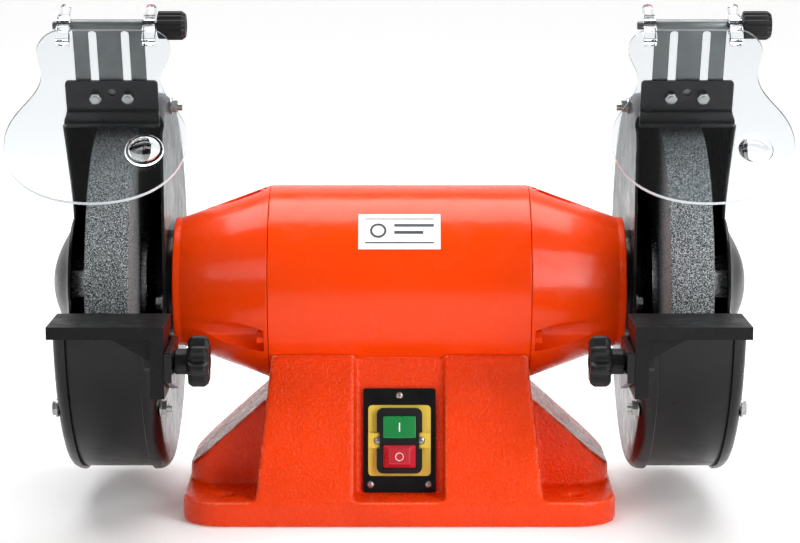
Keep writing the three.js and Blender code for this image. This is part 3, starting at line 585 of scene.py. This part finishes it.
def bell(side):
    """The end bell: a cone with three grooves for its bolts, a short neck and a black collar."""
    sign = SIDES[side]
    start, end = BELL_LOW.x, BELL_HIGH.x
    seam = SHELL_HIGH.x + 0.0003
    neck = 0.05
    outline = [(start, 0.066), (start, 0.0702), (seam, 0.0702), (seam, SHELL_RADIUS), (0.168, neck),
               (0.1735, neck), (0.1735, 0.0135), (0.1643, 0.0135), (0.1643, 0.0263), (0.147, 0.0263),
               (0.147, 0.033), (0.16, 0.036), (0.16, 0.046), (0.104, 0.066)]
    outline = [(sign * x, r) for x, r in rounded(outline, 0.0012, steps=3)]
    body = lathe(f"bell_{side}", outline, steps=160)
    cone = [(seam + 0.0002, 0), (seam + 0.0002, SHELL_RADIUS - 0.001), (0.1675, neck - 0.001), (0.1675, 0)]
    bosses = []
    grooves = []
    for degrees in (90, 210, 330):
        angle = math.radians(degrees)
        y, z = BELL_BOLT_CIRCLE * math.cos(angle), BELL_BOLT_CIRCLE * math.sin(angle)
        at = Matrix.Translation((0, y, AXIS_Z + z))
        boss = rod("boss", 0.015, sign * 0.101, sign * 0.156, at, 48)
        limit = lathe("limit", [(sign * x, r) for x, r in cone], steps=160)
        bosses.append(combine(boss, [limit], "INTERSECT"))
        grooves.append(rod("groove", 0.0115, sign * 0.103, sign * 0.19, at, 48))
        out = turn(180, "Z") if sign < 0 else Matrix.Identity(4)
        bolt_place = at @ Matrix.Translation((sign * 0.1033, 0, 0)) @ out
        bolt = hexagon(f"bell_bolt_{degrees}_{side}", 0.0052, 0, 0.005, bolt_place)
        dress(bolt, "root", "zinc_steel", material=FINISH["orange_paint"])
    join(body, *bosses)
    cut(body, *grooves)
    dress(body, "root", "orange_paint", [f"end_bell_{side}"])
    collar = [(0.1736, 0.0136), (0.1736, 0.04), (end, 0.04), (end, 0.0136)]
    collar = lathe(f"collar_{side}", mirrored(rounded(collar, 0.0008, steps=3), sign), steps=128)
    dress(collar, "root", "black_steel")


def motor():
    shell()
    label()
    for side in SIDES:
        bell(side)
        dress_cad(f"bearing_{side}", "bright_steel", 0.0005)
    dress_cad("stator_core", "laminations")
    dress_cad("stator_winding", "copper_winding", 0.001)
    dress_cad("rotor_core", "laminations", 0.0004)
    dress_cad("rotor_shaft", "bright_steel", 0.0004)


# ---- Wheel ----


def wheel(side):
    sign = SIDES[side]
    low, high = WHEEL_LOW.x, WHEEL_HIGH.x
    outline = [(low, 0.0128), (low, WHEEL_RADIUS), (high, WHEEL_RADIUS), (high, 0.0128)]
    outline = [(sign * x, r) for x, r in rounded(outline, 0.0014, steps=3)]
    dress(lathe(f"stone_{side}", outline, steps=192), "spindle", "grinding_stone", [f"wheel_{side}"])
    for name, face, away in (("inner", low - 0.0003, -1), ("outer", high + 0.0003, 1)):
        shape = [(0, 0.0128), (0, 0.027), (0.001, 0.028), (0, 0.029), (0, 0.042)]
        shape += [(0.005, 0.042), (0.0065, 0.026),
                 (0.011, 0.022), (0.011, 0.0128)]
        outline = [(sign * (face + away * x), r) for x, r in rounded(shape, 0.0008, steps=3)]
        flange = lathe(f"flange_{name}_{side}", outline, steps=96)
        dress(flange, "spindle", "bright_steel", [f"{name}_flange_{side}"])
    dress_cad(f"spindle_nut_{side}", "bright_steel", 0.0007)


# ---- Guard ----


def mirrored(points, sign):
    return [(sign * x, r) for x, r in points]


def bend(x, radius, size, start, end, steps=8):
    """Profile points of a bend about (x, radius)."""
    angles = [math.radians(start + (end - start) * i / steps) for i in range(steps + 1)]
    return [(x + size * math.cos(a), radius + size * math.sin(a)) for a in angles]


def mouth_end(sign):
    """The space in front of the drum's top end."""
    place = AXLE @ Matrix.Translation((sign * WHEEL_MIDDLE, 0, 0)) @ Matrix.Rotation(MOUTH_LEAN, 4, "X")
    return block("mouth_end", mm(-60, -60, 134), mm(60, 0, 206), place)


def bolt_place(degrees):
    """Y and Z of a cover bolt, its angle counted from the front, positive upward."""
    return -0.136 * math.cos(math.radians(degrees)), AXIS_Z + 0.136 * math.sin(math.radians(degrees))


def bolt_holes(sign):
    holes = []
    for degrees in COVER_BOLTS.values():
        at = Matrix.Translation((0, *bolt_place(degrees)))
        holes.append(rod("hole", 0.0033, sign * 0.17, sign * 0.27, at, 20))
    return holes


def pan(side):
    """The guard's inner side, pressed from one sheet, with its hub raised toward the wheel."""
    sign = SIDES[side]
    back, edge = PAN_LOW.x, PAN_HIGH.x
    hub = back + 0.0067
    size = 0.009
    middle = back + size
    outline = [(hub, 0.016), (hub, 0.0425), (hub - 0.001, 0.0448), (back + 0.001, 0.0502), (back, 0.0525)]
    outline += [(back, 0.118), (back + 0.0004, 0.124)]
    outline += bend(middle, RIM - size, size, 176, 90)
    outline += [(edge - 0.0005, RIM), (edge, RIM - 0.0005), (edge, RIM - SHEET)]
    outline += bend(middle, RIM - size, size - SHEET, 90, 176)
    outline += [(back + SHEET + 0.0004, 0.124), (back + SHEET, 0.118), (back + SHEET, 0.0531),
                (back + SHEET + 0.001, 0.0508), (hub + SHEET - 0.001, 0.0454), (hub + SHEET, 0.0431),
                (hub + SHEET, 0.016)]
    body = lathe(f"pan_{side}", mirrored(outline, sign), steps=192)
    front = [(-0.06, MOUTH_Z), (-0.06, 0.22), (-0.22, 0.22), (-0.22, MOUTH_Z)]
    front = [(y, z + AXIS_Z) for y, z in rounded(front, 0.012, steps=8)]
    low, high = sorted((sign * 0.16, sign * 0.21))
    cut(body, prism("mouth", front, low, high, "X"), mouth_end(sign), *bolt_holes(sign))
    dress(body, "root", "black_steel", [f"guard_pan_{side}"])
    for i, degrees in enumerate((-8, 82, 172, 262)):
        angle = math.radians(degrees)
        y, z = -PAN_BOLT_CIRCLE * math.cos(angle), PAN_BOLT_CIRCLE * math.sin(angle)
        out = turn(180, "Z") if sign < 0 else Matrix.Identity(4)
        place = Matrix.Translation((sign * (back + SHEET + 0.0001), y, AXIS_Z + z)) @ out
        bolt = hexagon(f"pan_bolt_{i + 1}_{side}", 0.0054, 0.0009, 0.005, place)
        join(bolt, rod("washer", 0.0066, 0, 0.0012, place, 32))
        dress(bolt, "root", "zinc_steel")


def drum(side):
    sign = SIDES[side]
    low, high = DRUM_LOW.x, DRUM_HIGH.x
    outer = 0.1437
    section = [(low, outer - SHEET), (high, outer - SHEET), (high, outer), (low, outer)]
    section = mirrored(rounded(section, 0.0006, steps=2), sign)
    start = math.degrees(MOUTH_LEAN)
    end = math.degrees(math.acos(MOUTH_Z / outer)) - 360
    strip = swept(f"drum_{side}", section, start, end, steps=200)
    dress(strip, "root", "black_steel", [f"guard_drum_{side}"])
    place = mouth_place(sign)
    outline = [(-0.0205, outer - 0.0012), (0.0205, outer - 0.0012), (0.0205, 0.172), (-0.0205, 0.172)]
    tab = soften(prism(f"drum_tab_{side}", outline, 0.0001, SHEET, "Y", place), 0.0007)
    dress(tab, "root", "black_steel")


def mouth_place(sign):
    """The guard's top end: local Z straight out from the spindle, local -Y toward the operator."""
    return AXLE @ Matrix.Translation((sign * WHEEL_MIDDLE, 0, 0)) @ Matrix.Rotation(MOUTH_LEAN, 4, "X")


def cover_edge():
    """The cover's front edge in Y and Z from the spindle, from the top round the front of the dome."""
    points = [(-0.062, 0.132)]
    points += bezier((-0.062, 0.132), (-0.044, 0.112), (-0.016, 0.076), (-0.008, 0.06), 32)
    for i in range(41):
        angle = math.radians(96 + (201.1 - 96) * i / 40)
        points.append((0.05 * math.cos(angle), 0.05 * math.sin(angle)))
    points.append((-0.137, MOUTH_Z))
    return points


def cover(side):
    """The guard's outer side: a pan with a soft dome over the spindle's end and a rolled front edge."""
    sign = SIDES[side]
    face = 0.2523
    size = 0.008
    middle = face - size
    rise = COVER_HIGH.x - face
    start = 0.243
    tip = face + rise
    dome = bezier((face, 0.0488), (face + rise * 0.06, 0.039), (tip - rise * 0.02, 0.026), (tip, 0), 24)
    inner = [(x - SHEET, max(0, r - 0.0006)) for x, r in reversed(dome)]
    inner[0] = (inner[0][0], 0)
    outline = inner + [(face - SHEET, 0.0482)]
    outline += bend(middle, RIM - size, size - SHEET, 0, 90)
    outline += [(start, RIM - SHEET), (start, RIM)]
    outline += bend(middle, RIM - size, size, 90, 0)
    outline += [(face, 0.0488)] + dome
    body = lathe(f"cover_{side}", mirrored(outline, sign), steps=192)
    front = cover_edge()
    front = [(-0.062, 0.2)] + front[:-1] + [(-0.22, MOUTH_Z), (-0.22, 0.2)]
    front = [(y, z + AXIS_Z) for y, z in front]
    low, high = sorted((sign * 0.23, sign * 0.29))
    cut(body, prism("mouth", front, low, high, "X"), mouth_end(sign), *bolt_holes(sign))
    dress(body, "root", "black_steel", [f"guard_cover_{side}"])
    bead = [(sign * (face - 0.001), y, AXIS_Z + z) for y, z in cover_edge()[3:-6]]
    dress(tube(f"cover_bead_{side}", bead, 0.0015), "root", "black_steel")


def cover_bolts(side):
    """Long bolts that hold both sides together, with a washer under each head and nut."""
    sign = SIDES[side]
    out = turn(180, "Z") if sign < 0 else Matrix.Identity(4)
    for name, degrees in COVER_BOLTS.items():
        place = Matrix.Translation((0, *bolt_place(degrees))) @ out
        head = hexagon(f"bolt_{name}_{side}", 0.0056, 0.2538, 0.2568, place)
        nut = hexagon("nut", 0.0056, 0.172, 0.1762, place)
        shank = rod("shank", 0.003, 0.1684, 0.255, place, 20)
        washers = [rod("washer", 0.0068, a, b, place, 32) for a, b in ((0.2526, 0.254), (0.1758, 0.177))]
        join(head, nut, shank, *washers)
        dress(head, "root", "zinc_steel", [f"cover_bolt_{name}_{side}"])


# ---- Tool rest ----


def lobed(radius, depth, lobes):
    def swell(angle, x, reach):
        share = min(1.0, max(0.0, (reach - radius * 0.45) / (radius * 0.5)))
        return reach - share * depth * (0.5 - 0.5 * math.cos(lobes * angle)) ** 1.4
    return swell


def rest(side):
    sign = SIDES[side]
    dress_cad(f"tool_rest_{side}", "black_casting", 0.0016, 4)
    dress_cad(f"rest_arm_{side}", "black_steel", 0.0007)
    dress_cad(f"rest_stud_{side}", "black_steel", 0.0004)
    y = (KNOB_LOW.y + KNOB_HIGH.y) / 2
    place = Matrix.Translation((0, y, (KNOB_LOW.z + KNOB_HIGH.z) / 2))
    start, end = KNOB_LOW.x + 0.002, KNOB_HIGH.x
    disc = start + 0.015
    radius = (KNOB_HIGH.z - KNOB_LOW.z) / 2 * 1.02
    outline = [(start + 0.0035, 0), (start + 0.0035, radius * 0.42)]
    outline += [(start, radius * 0.5), (start, radius * 0.86),
               (start + 0.003, radius), (disc - 0.003, radius), (disc, radius * 0.88), (disc, 0.0105),
               (disc + 0.001, 0.0093), (end, 0.0093), (end, 0)]
    outline = mirrored(rounded(outline, 0.0012, closed=False, steps=4), sign)
    knob = lathe(f"knob_{side}", outline, place, 224, lobed(radius, 0.0052, 7))
    dress(knob, f"rest_knob_{side}", "black_plastic", [f"rest_knob_{side}"])


# ---- Spark guard and shield ----


def across(place, x, z, y):
    """A place on the spark guard's front, local +X toward the operator."""
    return place @ Matrix.Translation((x, y, z)) @ turn(-90, "Z")


def spark_guard(side):
    sign = SIDES[side]
    place = mouth_place(sign)
    dress_cad(f"spark_guard_{side}", "black_steel", 0.0007)
    for name, x in (("a", -0.012), ("b", 0.012)):
        at = across(place, x, 0.1615, -0.0046)
        nut = hexagon(f"spark_nut_{name}_{side}", 0.0046, 0, 0.004, at)
        shank = rod("shank", 0.0025, -0.0055, 0.0052, at, 24)
        head = hexagon("head", 0.0046, -0.0104, -0.0069, at)
        join(nut, shank, head)
        dress(nut, "root", "zinc_steel", [f"spark_bolt_{name}_{side}"])


def slide(side):
    """The slotted strip that carries the shield, rolled round the hinge rod at its top."""
    sign = SIDES[side]
    place = mouth_place(sign)
    half = 0.0264
    outline = [(-half, 0.15), (half, 0.15), (half, 0.221), (-half, 0.221)]
    strip = prism(f"slide_{side}", rounded(outline, 0.003), -0.002, -0.0003, "Y", place)
    for x in (-0.012, 0.012):
        slot = [(x - 0.003, 0.155), (x + 0.003, 0.155), (x + 0.003, 0.214), (x - 0.003, 0.214)]
        cut(strip, prism("slot", rounded(slot, 0.0029, steps=6), -0.02, 0.02, "Y", place))
    curl = Matrix.Translation((sign * HINGE.x, HINGE.y, HINGE.z))
    wall = [(-half, 0.0034), (-half, 0.0046), (half, 0.0046), (half, 0.0034)]
    roll = lathe("roll", rounded(wall, 0.0004, steps=2), curl, 48)
    join(strip, roll)
    body = f"shield_slide_{side}"
    dress(strip, body, "zinc_steel", [f"shield_slide_{side}"], ZINC_SHEET)
    steel = [(-0.04, 0), (-0.04, 0.0026), (-0.0394, 0.003), (0.0444, 0.003), (0.045, 0.0026), (0.045, 0)]
    dress(lathe(f"rod_{side}", steel, curl, 48), body, "zinc_steel", [f"shield_rod_{side}"], DARK_STEEL)


def shield_outline():
    right = [(0.0, -0.011), (0.034, -0.011)]
    right += bezier((0.034, -0.011), (0.042, -0.012), (0.0495, -0.022), (0.0485, -0.031), 14)
    right += bezier((0.0485, -0.031), (0.0475, -0.04), (0.043, -0.046), (0.043, -0.054), 14)
    right += bezier((0.043, -0.054), (0.043, -0.076), (0.0645, -0.084), (0.0645, -0.112), 24)
    right += bezier((0.0645, -0.112), (0.0645, -0.145), (0.038, -0.165), (0, -0.165), 28)
    left = [(-x, z) for x, z in reversed(right[1:-1])]
    return right + left


def shield(side):
    """A clear moulded eye shield with two hinge ears and a small round lens dimple."""
    sign = SIDES[side]
    place = Matrix.Translation((sign * HINGE.x, HINGE.y, HINGE.z)) @ Matrix.Rotation(-SHIELD_TILT, 4, "X")
    front, back = -0.009, -0.006
    body = prism(f"window_{side}", shield_outline(), front, back, "Y", place)
    for low, high in ((-0.036, -0.0269), (0.0269, 0.036)):
        boss = [(low, 0), (low, 0.008), (high, 0.008), (high, 0)]
        ear = lathe("ear", rounded(boss, 0.0008, False, 3), place, 48)
        web = block("web", (low, front + 0.001, -0.018), (high, 0.003, -0.001), place)
        upright = place @ Matrix.Translation(((low + high) / 2, 0, 0)) @ turn(-90, "Y")
        head = [(0.004, 0), (0.004, 0.0039), (0.0178, 0.0039), (0.0178, 0)]
        join(body, ear, web, lathe("head", rounded(head, 0.0012, False, 4), upright, 40))
        cut(body, rod("bore", 0.0033, -0.05, 0.05, place, 32))
    dimple = place @ Matrix.Translation((0.035, front, -0.1205)) @ turn(-90, "Z")
    rim = [(-0.0004, 0), (-0.0004, 0.0138), (0.0005, 0.0138), (0.0016, 0.013), (0.0016, 0.0124), (0.0016, 0)]
    join(body, lathe("lens", rounded(rim, 0.0005, False, 4), dimple, 64))
    angles = [math.radians(a) for a in range(0, 96, 5)]
    bowl = [(0.0034 - 0.0045 * math.cos(a), 0.0122 * math.sin(a)) for a in angles]
    cut(body, lathe("bowl", bowl + [(0.004, 0)], dimple, 64))
    body = soften(body, 0.0005, 2, 40)
    dress(body, f"shield_{side}", "clear_plastic", [f"shield_{side}"])
    paint_edge_highlight(body, place, front, back)
    knob(side, place)


def paint_edge_highlight(body, place, front, back):
    """Gives the sawn edge of the sheet a painted highlight: a pale opaque colour on its edge faces."""
    body.data.materials.append(SHIELD_EDGE_HIGHLIGHT)
    across_sheet = place.to_3x3() @ Vector((0, 1, 0))
    inward = place.inverted()
    for face in body.data.polygons:
        at = inward @ (body.matrix_world @ face.center)
        in_sheet = front - 0.0001 < at.y < back + 0.0001 and at.z < -0.0105
        near_lens = abs(at.x - 0.035) < 0.016 and abs(at.z + 0.1205) < 0.016
        if in_sheet and not near_lens and abs(face.normal.dot(across_sheet)) < 0.8:
            face.material_index = 1


def knob(side, place):
    start, end, radius = 0.037, 0.058, 0.0107
    outline = [(start, 0), (start, 0.0085), (start + 0.0008, radius)]
    outline += [(end - 0.003, radius), (end, radius - 0.0022),
               (end, 0.0052), (end - 0.0012, 0.0045), (end - 0.0012, 0)]
    grip = lathe(f"clamp_knob_{side}", rounded(outline, 0.0008, False, 4), place, 192, fluted(radius))
    dress(grip, f"shield_knob_{side}", "black_plastic", [f"shield_knob_{side}"])


def fluted(radius):
    def swell(angle, x, reach):
        share = min(1.0, max(0.0, (reach - radius * 0.7) / (radius * 0.25)))
        return reach - share * 0.0011 * (0.5 - 0.5 * math.cos(16 * angle))
    return swell


# ---- Studio ----


def backdrop():
    """A pale floor that curves up into a wall well behind the machine."""
    front, turn_start, wall, top = -4.0, 4.5, 6.5, 6.0
    reach = wall - turn_start
    sweep = [(turn_start + reach * math.sin(math.radians(a)), reach - reach * math.cos(math.radians(a)))
             for a in range(0, 91, 6)]
    outline = [(front, -0.0001)] + [(y, z - 0.0001) for y, z in sweep] + [(wall, top), (wall + 0.1, top)]
    outline += [(wall + 0.1, -0.1), (front, -0.1)]
    sheet = prism("backdrop", outline, -10, 10, "X")
    material, tree, shader = new_material("studio_white", (0.9, 0.9, 0.9), 0.7)
    shader.inputs["Specular IOR Level"].default_value = 0.1
    place = tree.nodes.new("ShaderNodeTexCoord")
    split = tree.nodes.new("ShaderNodeSeparateXYZ")
    far = tree.nodes.new("ShaderNodeMapRange")
    far.inputs["From Min"].default_value = 0.2
    far.inputs["From Max"].default_value = 2.2
    tree.links.new(place.outputs["Object"], split.inputs["Vector"])
    tree.links.new(split.outputs["Y"], far.inputs["Value"])
    glow = ramp(tree, far.outputs["Result"], [(0.0, (0.12, 0.12, 0.12)), (1.0, (0.62, 0.62, 0.62))])
    tree.links.new(glow, shader.inputs["Emission Color"])
    shader.inputs["Emission Strength"].default_value = 1.0
    sheet.data.materials.append(material)


def light(name, place, target, size, power):
    data = bpy.data.lights.new(name, "AREA")
    data.shape = "RECTANGLE"
    data.size, data.size_y = size
    data.energy = power
    lamp = bpy.data.objects.new(name, data)
    lamp.location = place
    lamp.rotation_euler = (Vector(target) - Vector(place)).to_track_quat("-Z", "Y").to_euler()
    bpy.context.scene.collection.objects.link(lamp)


def studio():
    scene = bpy.context.scene
    scene.view_settings.view_transform = "Standard"
    world = bpy.data.worlds.new("studio")
    world.use_nodes = True
    world.node_tree.nodes["Background"].inputs["Color"].default_value = (1, 1, 1, 1)
    world.node_tree.nodes["Background"].inputs["Strength"].default_value = 0.12
    scene.world = world
    light("overhead", (0, 0.4, 1.9), (0, 0.4, 0), (2.4, 1.3), 58)
    light("key", (0.85, -0.95, 0.62), (0.05, 0, AXIS_Z), (0.5, 0.95), 11.5)
    light("fill", (-1.3, -1.9, 1.0), (-0.1, 0, AXIS_Z), (0.9, 0.9), 8)


def camera():
    """A long lens in front of the machine, a little above the spindle."""
    pitch = math.radians(8.5)
    distance = 1.9
    data = bpy.data.cameras.new("camera")
    data.sensor_width = 36
    data.lens = 109.4
    eye = bpy.data.objects.new("camera", data)
    target = Vector((0.0004, 0, AXIS_Z)) + Vector((0, math.sin(pitch), math.cos(pitch))) * 0.0074
    eye.location = target + Vector((0, -math.cos(pitch), math.sin(pitch))) * distance
    eye.rotation_euler = (math.pi / 2 - pitch, 0, 0)
    bpy.context.scene.collection.objects.link(eye)
    bpy.context.scene.camera = eye


camera()
studio()
backdrop()
base()
switch()
motor()
for side in SIDES:
    wheel(side)
    pan(side)
    drum(side)
    cover(side)
    cover_bolts(side)
    rest(side)
    spark_guard(side)
    slide(side)
    shield(side)
